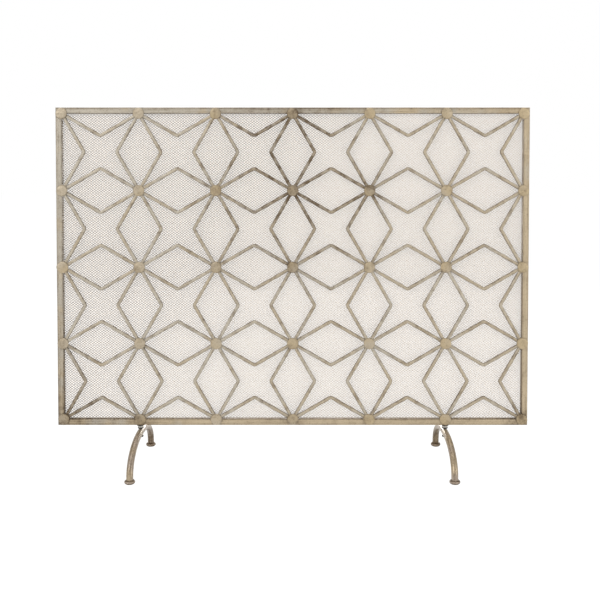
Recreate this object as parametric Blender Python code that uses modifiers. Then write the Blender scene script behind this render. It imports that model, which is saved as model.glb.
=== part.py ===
"""Fireplace screen: a square-tube frame filled with star-shaped bar work and a mesh back.

The screen stands on two arched legs. Each leg is held under the bottom rail by one upright
bolt, and it can be turned about that bolt. Units are metres, +Z is up, the front faces -Y,
and the origin is on the floor under the middle of the screen.
"""

import math

import bmesh
import bpy
from mathutils import Matrix, Vector

# Clearance between pieces that touch
GAP = 0.0003

# Grid of the panel: the nodes lie on the inner edges of the frame
CELL = 0.1651
COLUMNS = 6
ROWS = 4

# Frame: mitred square tube
TUBE = 0.0127
TUBE_WALL = 0.0012
LEG_HEIGHT = 0.086

# Star bars: each cell has a V from every side, and its arms leave the side at ARM_ANGLE
BAR_WIDTH = 0.008
BAR_THICKNESS = 0.005
ARM_ANGLE = math.radians(30)
BEND_RADIUS = 0.006
BEND_STEPS = 3

# Discs over the nodes
DISC_DIAMETER = 0.0245
DISC_THICKNESS = 0.003
DISC_CHAMFER = 0.0008
DISC_SIDES = 20

# Mesh sheet behind the frame, and the flat strips that hold its edges
MESH_THICKNESS = 0.0006
MESH_OVERLAP = 0.008
STRIP_WIDTH = 0.010
STRIP_THICKNESS = 0.0015

# Legs: a round rod bent to an arch that runs from front to back
LEG_COLUMNS_FROM_END = 1
LEG_ROD = 0.0145
LEG_HALF_SPAN = 0.131
ARCH_POWER = 2.2
ARCH_STEPS = 26
ROD_SMOOTHNESS = 4

# Feet: turned pads with a socket for the end of the rod
FOOT_HEIGHT = 0.0078
FOOT_TOP_DIAMETER = 0.0196
FOOT_BASE_DIAMETER = 0.018
FOOT_BULGE = 0.0018
FOOT_BULGE_STEPS = 4
SOCKET_DEPTH = 0.0035
STUB_LENGTH = 0.006
TURNED_STEPS = 20

# Leg fixing: flanged nut welded under the rail, washer, and hexagon bolt from below
BOLT_DIAMETER = 0.006
BOLT_HEAD_FLATS = 0.010
BOLT_HEAD_HEIGHT = 0.004
BOLT_END_SETBACK = 0.0008
NUT_FLANGE_DIAMETER = 0.0167
NUT_FLANGE_THICKNESS = 0.0013
NUT_NECK_DIAMETER = 0.0124
NUT_HEIGHT = 0.0055
WASHER_DIAMETER = 0.0128
WASHER_THICKNESS = 0.002

# Places that follow from the sizes above
OPENING_WIDTH = COLUMNS * CELL
OPENING_HEIGHT = ROWS * CELL
WIDTH = OPENING_WIDTH + 2 * TUBE
OPENING_BOTTOM = LEG_HEIGHT + TUBE
PANEL_MIDDLE = OPENING_BOTTOM + OPENING_HEIGHT / 2
FRONT = -TUBE / 2
BACK = TUBE / 2
DISC_MIDDLE_Y = FRONT - GAP - DISC_THICKNESS / 2
BAR_MIDDLE_Y = FRONT + BAR_THICKNESS / 2
MESH_MIDDLE_Y = BACK + GAP + MESH_THICKNESS / 2
STRIP_MIDDLE_Y = BACK + GAP + MESH_THICKNESS + GAP + STRIP_THICKNESS / 2
LEG_X = OPENING_WIDTH / 2 - LEG_COLUMNS_FROM_END * CELL
NUT_TOP = LEG_HEIGHT - GAP
WASHER_TOP = NUT_TOP - NUT_HEIGHT - GAP
CROWN_TOP = WASHER_TOP - WASHER_THICKNESS - GAP
CROWN_MIDDLE = CROWN_TOP - LEG_ROD / 2
HEAD_TOP = CROWN_TOP - LEG_ROD - GAP
ROD_END = FOOT_HEIGHT - SOCKET_DEPTH + GAP
HOLE_DIAMETER = BOLT_DIAMETER + 2 * GAP


def clear_scene():
    """Remove every object, so that the script can be run again."""
    for obj in list(bpy.data.objects):
        bpy.data.objects.remove(obj, do_unlink=True)


def new_collection(name):
    """Make a collection in the scene."""
    collection = bpy.data.collections.new(name)
    bpy.context.scene.collection.children.link(collection)
    return collection


clear_scene()
PARTS = new_collection("fireplace_screen")
CUTTERS = new_collection("cutters")


def linear(hex_colour):
    """Turn an sRGB hex colour into linear RGBA."""
    values = []
    for start in (0, 2, 4):
        value = int(hex_colour[start:start + 2], 16) / 255
        if value <= 0.04045:
            values.append(value / 12.92)
        else:
            values.append(((value + 0.055) / 1.055) ** 2.4)
    return (*values, 1.0)


def make_material(name, hex_colour, roughness, metallic):
    """Make a plain metal or paint."""
    material = bpy.data.materials.new(name)
    material.use_nodes = True
    shader = material.node_tree.nodes["Principled BSDF"]
    shader.inputs["Base Color"].default_value = linear(hex_colour)
    shader.inputs["Roughness"].default_value = roughness
    shader.inputs["Metallic"].default_value = metallic
    return material


FRAME_FINISH = make_material("frame_champagne", "b7ab94", 0.45, 0.6)
STAR_FINISH = make_material("star_champagne", "aca08a", 0.5, 0.6)
DISC_FINISH = make_material("disc_champagne", "b8aa8c", 0.4, 0.7)
LEG_FINISH = make_material("leg_champagne", "a8997f", 0.45, 0.6)
FOOT_FINISH = make_material("foot_champagne", "94876f", 0.45, 0.6)
MESH_FINISH = make_material("mesh_bronze", "857a6c", 0.55, 0.5)
STRIP_FINISH = make_material("strip_bronze", "8d8270", 0.5, 0.5)
NUT_FINISH = make_material("nut_steel", "a3a09a", 0.35, 0.9)
WASHER_FINISH = make_material("washer_dark", "3b3733", 0.6, 0.2)
BOLT_FINISH = make_material("bolt_black", "4a443d", 0.45, 0.8)


def place(obj, name, material, parent, location):
    """Name an object, colour it, and put it in the parts collection under its parent."""
    obj.name = name
    obj.data.name = name
    obj.data.materials.clear()
    obj.data.materials.append(material)
    for collection in list(obj.users_collection):
        collection.objects.unlink(obj)
    PARTS.objects.link(obj)
    obj.parent = parent
    obj.location = location
    return obj


def make_empty(name, location):
    """Make an empty that pieces are placed under."""
    empty = bpy.data.objects.new(name, None)
    empty.empty_display_size = 0.03
    empty.location = location
    PARTS.objects.link(empty)
    return empty


def make_cutter(obj, name):
    """Move an object to the cutters collection and hide it from renders."""
    obj.name = name
    for collection in list(obj.users_collection):
        collection.objects.unlink(obj)
    CUTTERS.objects.link(obj)
    obj.hide_render = True
    obj.display_type = "WIRE"
    return obj


def add_boolean(obj, operation, other):
    """Cut or join an object with another one."""
    modifier = obj.modifiers.new(operation.lower(), "BOOLEAN")
    modifier.operation = operation
    modifier.solver = "EXACT"
    modifier.object = other


def mesh_object(name, bm):
    """Turn a bmesh into an object."""
    mesh = bpy.data.meshes.new(name)
    bm.to_mesh(mesh)
    bm.free()
    obj = bpy.data.objects.new(name, mesh)
    bpy.context.scene.collection.objects.link(obj)
    return obj


def box_object(name, size):
    """Make a box of the given size about its own middle."""
    bm = bmesh.new()
    bmesh.ops.create_cube(bm, size=1)
    bmesh.ops.scale(bm, vec=Vector(size), verts=bm.verts)
    return mesh_object(name, bm)


def cylinder_object(name, diameter, height, sides, turn=Matrix()):
    """Make a capped cylinder or prism about its own middle."""
    radius = diameter / 2
    bm = bmesh.new()
    bmesh.ops.create_cone(
        bm, cap_ends=True, segments=sides, radius1=radius, radius2=radius, depth=height, matrix=turn
    )
    return mesh_object(name, bm)


def shade_round(obj):
    """Shade a round piece smooth, with its edges kept sharp."""
    obj.data.shade_smooth()
    obj.data.set_sharp_from_angle(angle=math.radians(40))


def mitred_box(name, length, size):
    """Make a bar along X whose ends are mitred: its long side faces +Z, its short side -Z."""
    obj = box_object(name, (length, size, size))
    for vertex in obj.data.vertices:
        if vertex.co.z < 0:
            vertex.co.x -= math.copysign(size, vertex.co.x)
    return obj


def make_rail(name, parent, length, location, turn):
    """Make one side of the frame: a mitred bar with the core of the tube cut through it."""
    rail = mitred_box(name, length, TUBE)
    bore = TUBE - 2 * TUBE_WALL
    core = make_cutter(box_object(name + "_core", (length + TUBE, bore, bore)), name + "_core")
    core.parent = rail
    add_boolean(rail, "DIFFERENCE", core)
    rail.rotation_euler = (0, turn, 0)
    return place(rail, name, FRAME_FINISH, parent, location)


def make_frame(parent):
    """Make the four sides. The stiles are set back so that the mitres clear one another."""
    rail_z = (OPENING_HEIGHT + TUBE) / 2
    stile_x = (OPENING_WIDTH + TUBE) / 2
    stile_length = OPENING_HEIGHT + 2 * TUBE - 2 * GAP * math.sqrt(2)
    make_rail("top_rail", parent, WIDTH, (0, 0, rail_z), 0)
    make_rail("bottom_rail", parent, WIDTH, (0, 0, -rail_z), math.pi)
    make_rail("left_stile", parent, stile_length, (-stile_x, 0, 0), -math.pi / 2)
    make_rail("right_stile", parent, stile_length, (stile_x, 0, 0), math.pi / 2)


def rounded_outline(corners):
    """Return the points of an outline. Each corner is (x, y, radius), and a radius of 0 is sharp."""
    points = []
    for index, (x, y, radius) in enumerate(corners):
        corner = Vector((x, y))
        before = Vector(corners[index - 1][:2])
        after = Vector(corners[(index + 1) % len(corners)][:2])
        if radius == 0:
            points.append(corner)
            continue
        to_before = (before - corner).normalized()
        to_after = (after - corner).normalized()
        half_angle = to_before.angle(to_after) / 2
        middle = corner + (to_before + to_after).normalized() * radius / math.sin(half_angle)
        start = corner + to_before * radius / math.tan(half_angle) - middle
        sweep = start.angle_signed(corner + to_after * radius / math.tan(half_angle) - middle)
        for step in range(BEND_STEPS + 1):
            turn = Matrix.Rotation(-sweep * step / BEND_STEPS, 2)
            points.append(middle + turn @ start)
    return points


def add_outline(curve, corners):
    """Add one closed outline to a flat curve."""
    points = rounded_outline(corners)
    spline = curve.splines.new("POLY")
    spline.points.add(len(points) - 1)
    for point, place_on_sheet in zip(spline.points, points):
        point.co = (*place_on_sheet, 0, 1)
    spline.use_cyclic_u = True


def star_row_outlines():
    """Return the outlines of one row of cells, about the row's middle.

    The bars' edges run parallel to their centre lines, and the row is trimmed to its cells.
    """
    half_cell = CELL / 2
    half_bar = BAR_WIDTH / 2
    rise = half_bar / math.cos(ARM_ANGLE)
    apex = half_cell * (1 - math.tan(ARM_ANGLE))
    outer_apex = apex + rise
    inner_apex = apex - rise
    edge = half_cell - GAP
    shoulder = half_cell - (GAP * math.cos(ARM_ANGLE) + half_bar) / math.sin(ARM_ANGLE)
    crossing = half_cell - half_bar / math.sin(ARM_ANGLE)
    tip = half_cell - half_bar / (math.cos(ARM_ANGLE) - math.sin(ARM_ANGLE))
    tight = BEND_RADIUS - half_bar
    wide = BEND_RADIUS + half_bar
    end = OPENING_WIDTH / 2 - GAP
    middles = [(column + 0.5) * CELL - OPENING_WIDTH / 2 for column in range(COLUMNS)]

    lower_side = [(-end, -edge, 0)]
    for middle in middles:
        lower_side.append((middle - shoulder, -edge, 0))
        lower_side.append((middle, -outer_apex, tight))
        lower_side.append((middle + shoulder, -edge, 0))
    lower_side.append((end, -edge, 0))
    right_side = [(end, -shoulder, 0), (middles[-1] + outer_apex, 0, tight), (end, shoulder, 0)]
    half_way = lower_side + right_side
    outlines = [half_way + [(-x, -y, radius) for x, y, radius in half_way]]

    for middle in middles:
        quarter = [(tip, tip, 0), (0, inner_apex, wide)]
        star = []
        for turn in range(4):
            for x, y, radius in quarter:
                around = Matrix.Rotation(turn * math.pi / 2, 2) @ Vector((x, y))
                star.append((middle + around.x, around.y, radius))
        outlines.append(star)

    for middle in middles[:-1]:
        seam = middle + half_cell
        reach = half_cell - outer_apex
        outlines.append([
            (seam, crossing, 0),
            (seam + reach, 0, tight),
            (seam, -crossing, 0),
            (seam - reach, 0, tight),
        ])
    return outlines


def make_star_rows(parent):
    """Make the bar work: one welded row of stars for each row of cells, top row first."""
    outlines = star_row_outlines()
    for row in range(ROWS):
        name = f"star_row_{row + 1}"
        curve = bpy.data.curves.new(name, "CURVE")
        curve.dimensions = "2D"
        curve.fill_mode = "BOTH"
        curve.extrude = BAR_THICKNESS / 2
        for corners in outlines:
            add_outline(curve, corners)
        stars = bpy.data.objects.new(name, curve)
        bpy.context.scene.collection.objects.link(stars)
        stars.rotation_euler = (math.pi / 2, 0, 0)
        height = OPENING_HEIGHT / 2 - (row + 0.5) * CELL
        place(stars, name, STAR_FINISH, parent, (0, BAR_MIDDLE_Y, height))


def chamfer_front_edge(disc):
    """Bevel the rim of a disc's front face, which looks to -Y."""
    weights = disc.data.attributes.new("bevel_weight_edge", "FLOAT", "EDGE")
    for edge in disc.data.edges:
        ends = [disc.data.vertices[index].co.y for index in edge.vertices]
        weights.data[edge.index].value = 1.0 if max(ends) < 0 else 0.0
    bevel = disc.modifiers.new("chamfer", "BEVEL")
    bevel.limit_method = "WEIGHT"
    bevel.width = DISC_CHAMFER
    bevel.segments = 1


def make_discs(parent):
    """Make the discs that cover the nodes. Rows and columns are counted from the top left."""
    face_front = Matrix.Rotation(math.pi / 2, 4, "X")
    for row in range(ROWS + 1):
        for column in range(COLUMNS + 1):
            name = f"disc_{row + 1}_{column + 1}"
            disc = cylinder_object(name, DISC_DIAMETER, DISC_THICKNESS, DISC_SIDES, face_front)
            chamfer_front_edge(disc)
            shade_round(disc)
            x = column * CELL - OPENING_WIDTH / 2
            z = OPENING_HEIGHT / 2 - row * CELL
            place(disc, name, DISC_FINISH, parent, (x, DISC_MIDDLE_Y, z))


def make_mesh_and_strips(parent):
    """Make the mesh sheet and the four strips that clamp its edges to the back of the frame."""
    width = OPENING_WIDTH + 2 * MESH_OVERLAP
    height = OPENING_HEIGHT + 2 * MESH_OVERLAP
    sheet = box_object("mesh_sheet", (width, MESH_THICKNESS, height))
    place(sheet, "mesh_sheet", MESH_FINISH, parent, (0, MESH_MIDDLE_Y, 0))

    long_size = (OPENING_WIDTH + 2 * STRIP_WIDTH, STRIP_THICKNESS, STRIP_WIDTH)
    short_size = (STRIP_WIDTH, STRIP_THICKNESS, OPENING_HEIGHT - 2 * GAP)
    strip_z = (OPENING_HEIGHT + STRIP_WIDTH) / 2
    strip_x = (OPENING_WIDTH + STRIP_WIDTH) / 2
    strips = {
        "top_strip": (long_size, (0, STRIP_MIDDLE_Y, strip_z)),
        "bottom_strip": (long_size, (0, STRIP_MIDDLE_Y, -strip_z)),
        "left_strip": (short_size, (-strip_x, STRIP_MIDDLE_Y, 0)),
        "right_strip": (short_size, (strip_x, STRIP_MIDDLE_Y, 0)),
    }
    for name, (size, location) in strips.items():
        place(box_object(name, size), name, STRIP_FINISH, parent, location)


def turned_object(name, profile, closed):
    """Turn a profile of (radius, height) points about Z. It runs down its outer side."""
    bm = bmesh.new()
    vertices = [bm.verts.new((radius, 0, height)) for radius, height in profile]
    for first, second in zip(vertices, vertices[1:]):
        bm.edges.new((first, second))
    if closed:
        bm.edges.new((vertices[-1], vertices[0]))
    obj = mesh_object(name, bm)
    screw = obj.modifiers.new("turn", "SCREW")
    screw.steps = TURNED_STEPS
    screw.render_steps = TURNED_STEPS
    screw.use_merge_vertices = True
    screw.merge_threshold = 0.00001
    screw.use_smooth_shade = True
    return obj


def arch_points():
    """Return the rod's centre line in the YZ plane: two upright stubs and a flattened arch."""
    spring = ROD_END + STUB_LENGTH
    rise = CROWN_MIDDLE - spring
    power = 2 / ARCH_POWER
    points = [Vector((0, -LEG_HALF_SPAN, ROD_END))]
    for step in range(ARCH_STEPS + 1):
        angle = math.pi * step / ARCH_STEPS
        across = -math.copysign(abs(math.cos(angle)) ** power, math.cos(angle))
        up = max(math.sin(angle), 0) ** power
        points.append(Vector((0, LEG_HALF_SPAN * across, spring + rise * up)))
    points.append(Vector((0, LEG_HALF_SPAN, ROD_END)))
    return points


def rod_mesh(name, points, diameter):
    """Make a closed rod along a path, as a mesh that can be cut."""
    curve = bpy.data.curves.new(name, "CURVE")
    curve.dimensions = "3D"
    curve.bevel_depth = diameter / 2
    curve.bevel_resolution = ROD_SMOOTHNESS
    curve.use_fill_caps = True
    spline = curve.splines.new("POLY")
    spline.points.add(len(points) - 1)
    for point, location in zip(spline.points, points):
        point.co = (*location, 1)
    guide = bpy.data.objects.new(name + "_guide", curve)
    bpy.context.scene.collection.objects.link(guide)
    bpy.context.view_layer.update()
    evaluated = guide.evaluated_get(bpy.context.evaluated_depsgraph_get())
    mesh = bpy.data.meshes.new_from_object(evaluated)
    bpy.data.objects.remove(guide, do_unlink=True)
    bm = bmesh.new()
    bm.from_mesh(mesh)
    bpy.data.meshes.remove(mesh)
    bmesh.ops.remove_doubles(bm, verts=bm.verts, dist=0.00001)
    bmesh.ops.recalc_face_normals(bm, faces=bm.faces)
    return mesh_object(name, bm)


def make_arch(name, pivot):
    """Make one leg's rod, with the bolt hole through its crown."""
    arch = rod_mesh(name, arch_points(), LEG_ROD)
    drill = cylinder_object(name + "_drill", HOLE_DIAMETER, 2 * LEG_ROD, TURNED_STEPS)
    drill = make_cutter(drill, name + "_drill")
    drill.location = (0, 0, CROWN_MIDDLE)
    drill.parent = pivot
    add_boolean(arch, "DIFFERENCE", drill)
    shade_round(arch)
    return place(arch, name, LEG_FINISH, pivot, (0, 0, 0))


def make_foot(name, pivot, y):
    """Make one foot pad: a disc with bulged sides and a socket for the rod."""
    socket_radius = LEG_ROD / 2 + GAP
    socket_floor = FOOT_HEIGHT - SOCKET_DEPTH
    profile = [(0, socket_floor), (socket_radius, socket_floor), (socket_radius, FOOT_HEIGHT)]
    for step in range(FOOT_BULGE_STEPS + 1):
        down = step / FOOT_BULGE_STEPS
        straight_side = FOOT_TOP_DIAMETER / 2 * (1 - down) + FOOT_BASE_DIAMETER / 2 * down
        profile.append((straight_side + FOOT_BULGE * math.sin(math.pi * down), FOOT_HEIGHT * (1 - down)))
    profile.append((0, 0))
    foot = turned_object(name, profile, closed=False)
    return place(foot, name, FOOT_FINISH, pivot, (0, y, 0))


def ring_profile(bore, outline):
    """Close an outer side, listed from top to bottom, along the wall of a bore."""
    top = outline[0][1]
    bottom = outline[-1][1]
    return outline + [(bore / 2, bottom), (bore / 2, top)]


def make_leg_nut(name, x):
    """Make the flanged nut that is welded under the bottom rail."""
    under_flange = -NUT_FLANGE_THICKNESS
    outline = [
        (NUT_FLANGE_DIAMETER / 2, 0),
        (NUT_FLANGE_DIAMETER / 2, under_flange),
        (NUT_NECK_DIAMETER / 2, under_flange),
        (NUT_NECK_DIAMETER / 2, -NUT_HEIGHT),
    ]
    nut = turned_object(name, ring_profile(HOLE_DIAMETER, outline), closed=True)
    return place(nut, name, NUT_FINISH, None, (x, 0, NUT_TOP))


def make_washer(name, x):
    """Make the washer between the nut and the arch."""
    outline = [(WASHER_DIAMETER / 2, 0), (WASHER_DIAMETER / 2, -WASHER_THICKNESS)]
    washer = turned_object(name, ring_profile(HOLE_DIAMETER, outline), closed=True)
    return place(washer, name, WASHER_FINISH, None, (x, 0, WASHER_TOP))


def make_bolt(name, x):
    """Make the bolt: a hexagon head under the crown and a shank up into the nut."""
    corners = BOLT_HEAD_FLATS / math.cos(math.pi / 6)
    bolt = cylinder_object(name, corners, BOLT_HEAD_HEIGHT, 6)
    shank_top = LEG_HEIGHT - BOLT_END_SETBACK
    head_middle = HEAD_TOP - BOLT_HEAD_HEIGHT / 2
    shank_length = shank_top - head_middle
    shank = cylinder_object(name + "_shank", BOLT_DIAMETER, shank_length, TURNED_STEPS)
    shank = make_cutter(shank, name + "_shank")
    shank.location = (0, 0, shank_length / 2)
    shank.parent = bolt
    add_boolean(bolt, "UNION", shank)
    return place(bolt, name, BOLT_FINISH, None, (x, 0, head_middle))


def make_leg(side, x):
    """Make one leg about its bolt's axis, and what fixes it to the bottom rail."""
    pivot = make_empty(f"{side}_leg_pivot", (x, 0, 0))
    make_arch(f"{side}_arch", pivot)
    make_foot(f"{side}_front_foot", pivot, -LEG_HALF_SPAN)
    make_foot(f"{side}_rear_foot", pivot, LEG_HALF_SPAN)
    make_leg_nut(f"{side}_leg_nut", x)
    make_washer(f"{side}_washer", x)
    make_bolt(f"{side}_bolt", x)


def main():
    """Build the whole screen."""
    panel = make_empty("panel_middle", (0, 0, PANEL_MIDDLE))
    make_frame(panel)
    make_star_rows(panel)
    make_discs(panel)
    make_mesh_and_strips(panel)
    make_leg("left", -LEG_X)
    make_leg("right", LEG_X)


main()
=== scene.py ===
import math
from functools import partial

import bmesh
import bpy
from bpy.props import FloatProperty, FloatVectorProperty, IntProperty, PointerProperty
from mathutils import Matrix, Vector, noise


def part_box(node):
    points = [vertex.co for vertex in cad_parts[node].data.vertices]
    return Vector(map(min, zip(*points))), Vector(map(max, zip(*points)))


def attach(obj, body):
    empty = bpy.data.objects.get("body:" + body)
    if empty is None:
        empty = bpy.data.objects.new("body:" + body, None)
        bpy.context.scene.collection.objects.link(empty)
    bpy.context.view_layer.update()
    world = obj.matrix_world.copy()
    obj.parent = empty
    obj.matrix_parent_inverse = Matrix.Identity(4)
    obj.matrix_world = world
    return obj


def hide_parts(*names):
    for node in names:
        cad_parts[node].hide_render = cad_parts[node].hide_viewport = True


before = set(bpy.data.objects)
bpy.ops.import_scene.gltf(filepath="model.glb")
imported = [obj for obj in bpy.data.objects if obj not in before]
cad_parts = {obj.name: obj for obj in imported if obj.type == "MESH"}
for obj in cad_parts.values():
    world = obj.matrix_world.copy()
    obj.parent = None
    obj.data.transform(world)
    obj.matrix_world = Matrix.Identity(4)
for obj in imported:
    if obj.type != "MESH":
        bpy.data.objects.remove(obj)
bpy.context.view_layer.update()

bl_info = {
    "name": "Star-work Fireplace Screen",
    "version": (1, 0, 0),
    "blender": (4, 5, 0),
    "location": "3D View > Sidebar > Fire Screen",
    "description": "Star bars, hammered discs and a wire mesh in a tube frame on two arched legs",
    "category": "Object",
}

SIDES = ("left", "right")


# ---- places that the frame gives


def centre_of(node):
    """The middle of a frame node's box."""
    low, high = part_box(node)
    return (low + high) / 2


def underside_of(node):
    """The middle of the underside of a frame node's box."""
    low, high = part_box(node)
    return Vector(((low.x + high.x) / 2, (low.y + high.y) / 2, low.z))


def size_of(node):
    """The three sides of a frame node's box."""
    low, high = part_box(node)
    return high - low


DISC_NODES = sorted(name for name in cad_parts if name.startswith("disc_"))
STAR_NODES = sorted(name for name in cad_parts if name.startswith("star_row_"))
ROWS = len(STAR_NODES)
COLUMNS = len(DISC_NODES) // (ROWS + 1) - 1
OPENING_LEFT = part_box("left_stile")[1].x
OPENING_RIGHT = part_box("right_stile")[0].x
OPENING_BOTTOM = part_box("bottom_rail")[1].z
OPENING_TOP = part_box("top_rail")[0].z
FRAME_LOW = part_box("bottom_rail")[0]
FRAME_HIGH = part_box("top_rail")[1]
TUBE = OPENING_BOTTOM - FRAME_LOW.z
CELL = (OPENING_RIGHT - OPENING_LEFT) / COLUMNS
PANEL_MIDDLE = Vector(((OPENING_LEFT + OPENING_RIGHT) / 2, 0, (OPENING_BOTTOM + OPENING_TOP) / 2))
# Dark patches round discs: the disc, how far the patch spreads and how dark it is. In the middle, level with
# the camera, it is a painted reflection of the dark camera side; in the bottom row the discs are just darker
DARK_PATCHES = (
    ("disc_2_4", 0.24, 0.46), ("disc_1_4", 0.16, 0.26), ("disc_5_1", 0.15, 0.45), ("disc_2_5", 0.08, 0.20),
    ("disc_5_2", 0.04, 0.30), ("disc_5_7", 0.05, 0.34), ("disc_3_4", 0.03, 0.22), ("disc_5_4", 0.03, 0.12),
)


# ---- settings a user would change


def linear(hex_colour):
    """Turns an sRGB hex colour into linear RGBA."""
    values = []
    for start in (1, 3, 5):
        value = int(hex_colour[start:start + 2], 16) / 255
        values.append(value / 12.92 if value <= 0.04045 else ((value + 0.055) / 1.055) ** 2.4)
    return (*values, 1.0)


def length_setting(name, description, default):
    """A length of the screen, in metres."""
    return FloatProperty(name=name, description=description, default=default, unit="LENGTH", precision=5)


def colour_setting(name, description, hex_colour):
    """A colour of the screen."""
    return FloatVectorProperty(
        name=name, description=description, default=linear(hex_colour), subtype="COLOR", size=4, min=0, max=1
    )


class ScreenSizes(bpy.types.PropertyGroup):
    """Sizes that the frame leaves open."""

    wire_diameter: length_setting("Wire diameter", "Thickness of one wire of the mesh", 0.00070)
    weave_depth: length_setting("Weave depth", "How far a wire swings to each side at its crossings", 0.00024)
    diamond_width: length_setting("Diamond width", "Width of one opening of the mesh", 0.00696)
    diamond_height: length_setting("Diamond height", "Height of one opening of the mesh", 0.00533)
    gauze_pitch: length_setting("Gauze pitch", "Distance between two wires of the fine gauze", 0.0010)
    gauze_wire: length_setting("Gauze wire", "Thickness of one wire of the fine gauze", 0.0002)
    tube_corner: length_setting("Tube corner", "Radius of the tube's outer corners", 0.0014)
    bar_width: length_setting("Bar width", "Width of a star bar", 0.0068)
    bar_round: length_setting("Bar rounding", "How far in the front edges of a star bar are rounded", 0.0024)
    bend_radius: length_setting("Bend radius", "Radius of a star bar's middle line at its bend", 0.006)
    arm_angle: FloatProperty(
        name="Arm angle", description="Angle between an arm and its side of the cell",
        default=math.radians(30), unit="ROTATION",
    )
    bar_dent: length_setting("Bar dents", "Depth of the hammer marks along a star bar", 0.0005)
    disc_dome: length_setting("Disc dome", "How far the middle of a disc stands over its rim", 0.0007)
    disc_dent: length_setting("Disc dents", "Depth of the hammer marks on a disc", 0.0011)
    dent_size: length_setting("Dent size", "Width of one hammer mark", 0.0065)
    tack_spacing: length_setting("Tack spacing", "Distance between tack welds on the rear strips", 0.0825)
    seed: IntProperty(name="Seed", description="Choice of dents, turns and tones", default=7)


class ScreenColours(bpy.types.PropertyGroup):
    """Colours of the finishes."""

    lacquer: colour_setting("Lacquer", "Champagne lacquer", "#B6A993")
    lacquer_gold: colour_setting("Golden lacquer", "Lacquer where it is thick", "#B7A585")
    primer: colour_setting("Primer", "Bronze primer under the lacquer", "#594833")
    wire: colour_setting("Wire", "Baked coating of the wires", "#625649")
    wire_light: colour_setting("Light wire", "Wires to the right and below, paled by painted light", "#D2C8BF")
    gauze: colour_setting("Gauze", "Lacquer on the fine gauze", "#CEBFA8")
    gauze_light: colour_setting("Light gauze", "Fine gauze to the left and above, paler by painted light", "#F5E6D2")
    tube_lacquer: colour_setting("Tube lacquer", "Champagne lacquer on the frame tubes", "#B0A899")
    tube_gold: colour_setting("Golden tube lacquer", "Tube lacquer where it is thick", "#B9A88C")
    foot_lacquer: colour_setting("Foot lacquer", "Champagne lacquer on the feet, greyed by polish", "#B3A494")
    bar_lacquer: colour_setting("Bar lacquer", "Champagne lacquer on the star bars", "#C1B9A9")
    bar_gold: colour_setting("Golden bar lacquer", "Lacquer on the star bars where it is thick", "#BCAF98")
    zinc: colour_setting("Zinc", "Plating of the nuts", "#B9B6AE")
    rubber: colour_setting("Rubber", "Washers", "#2E2A27")
    oxide: colour_setting("Black oxide", "Bolts", "#3A342F")
    floor: colour_setting("Floor", "What the glowing floor reflects", "#0F0F0F")


def sizes():
    """The size settings of this scene."""
    return bpy.context.scene.screen_sizes


def colours():
    """The colour settings of this scene."""
    return bpy.context.scene.screen_colours


def ground():
    """The lacquer's two colours on everything but the star bars."""
    return colours().lacquer, colours().lacquer_gold


# ---- nodes


def add_node(tree, kind, *values, **settings):
    """Adds one node to a tree, its kind given without the family that Blender's name for it starts with.

    values feed its inputs in their order, or one dict feeds them by name or number. A value is a
    constant, an output or a node, which stands for its first output in use. A list of nodes all
    feed one input.
    """
    families = ("GeometryNode", "ShaderNode", "FunctionNode", "Node")
    node = tree.nodes.new(next(family + kind for family in families if hasattr(bpy.types, family + kind)))
    for name, value in settings.items():
        setattr(node, name, value)
    if values and isinstance(values[0], dict):
        fed = [(node.inputs[key], value) for key, value in values[0].items()]
    else:
        fed = list(zip([socket for socket in node.inputs if socket.enabled], values))
    for socket, value in fed:
        for source in value if isinstance(value, list) else [value]:
            if isinstance(source, bpy.types.Node):
                source = next(output for output in source.outputs if output.enabled)
            if isinstance(source, bpy.types.NodeSocket):
                tree.links.new(source, socket)
            else:
                socket.default_value = source
    return node


def new_shader(name):
    """An empty material, and the function that adds nodes to it."""
    material = bpy.data.materials.new(name)
    material.use_nodes = True
    material.node_tree.nodes.clear()
    return material, partial(add_node, material.node_tree)


def finish_shader(add, inputs):
    """Ends a material's tree in one Principled shader."""
    add("OutputMaterial", {"Surface": add("BsdfPrincipled", inputs)})


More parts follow.
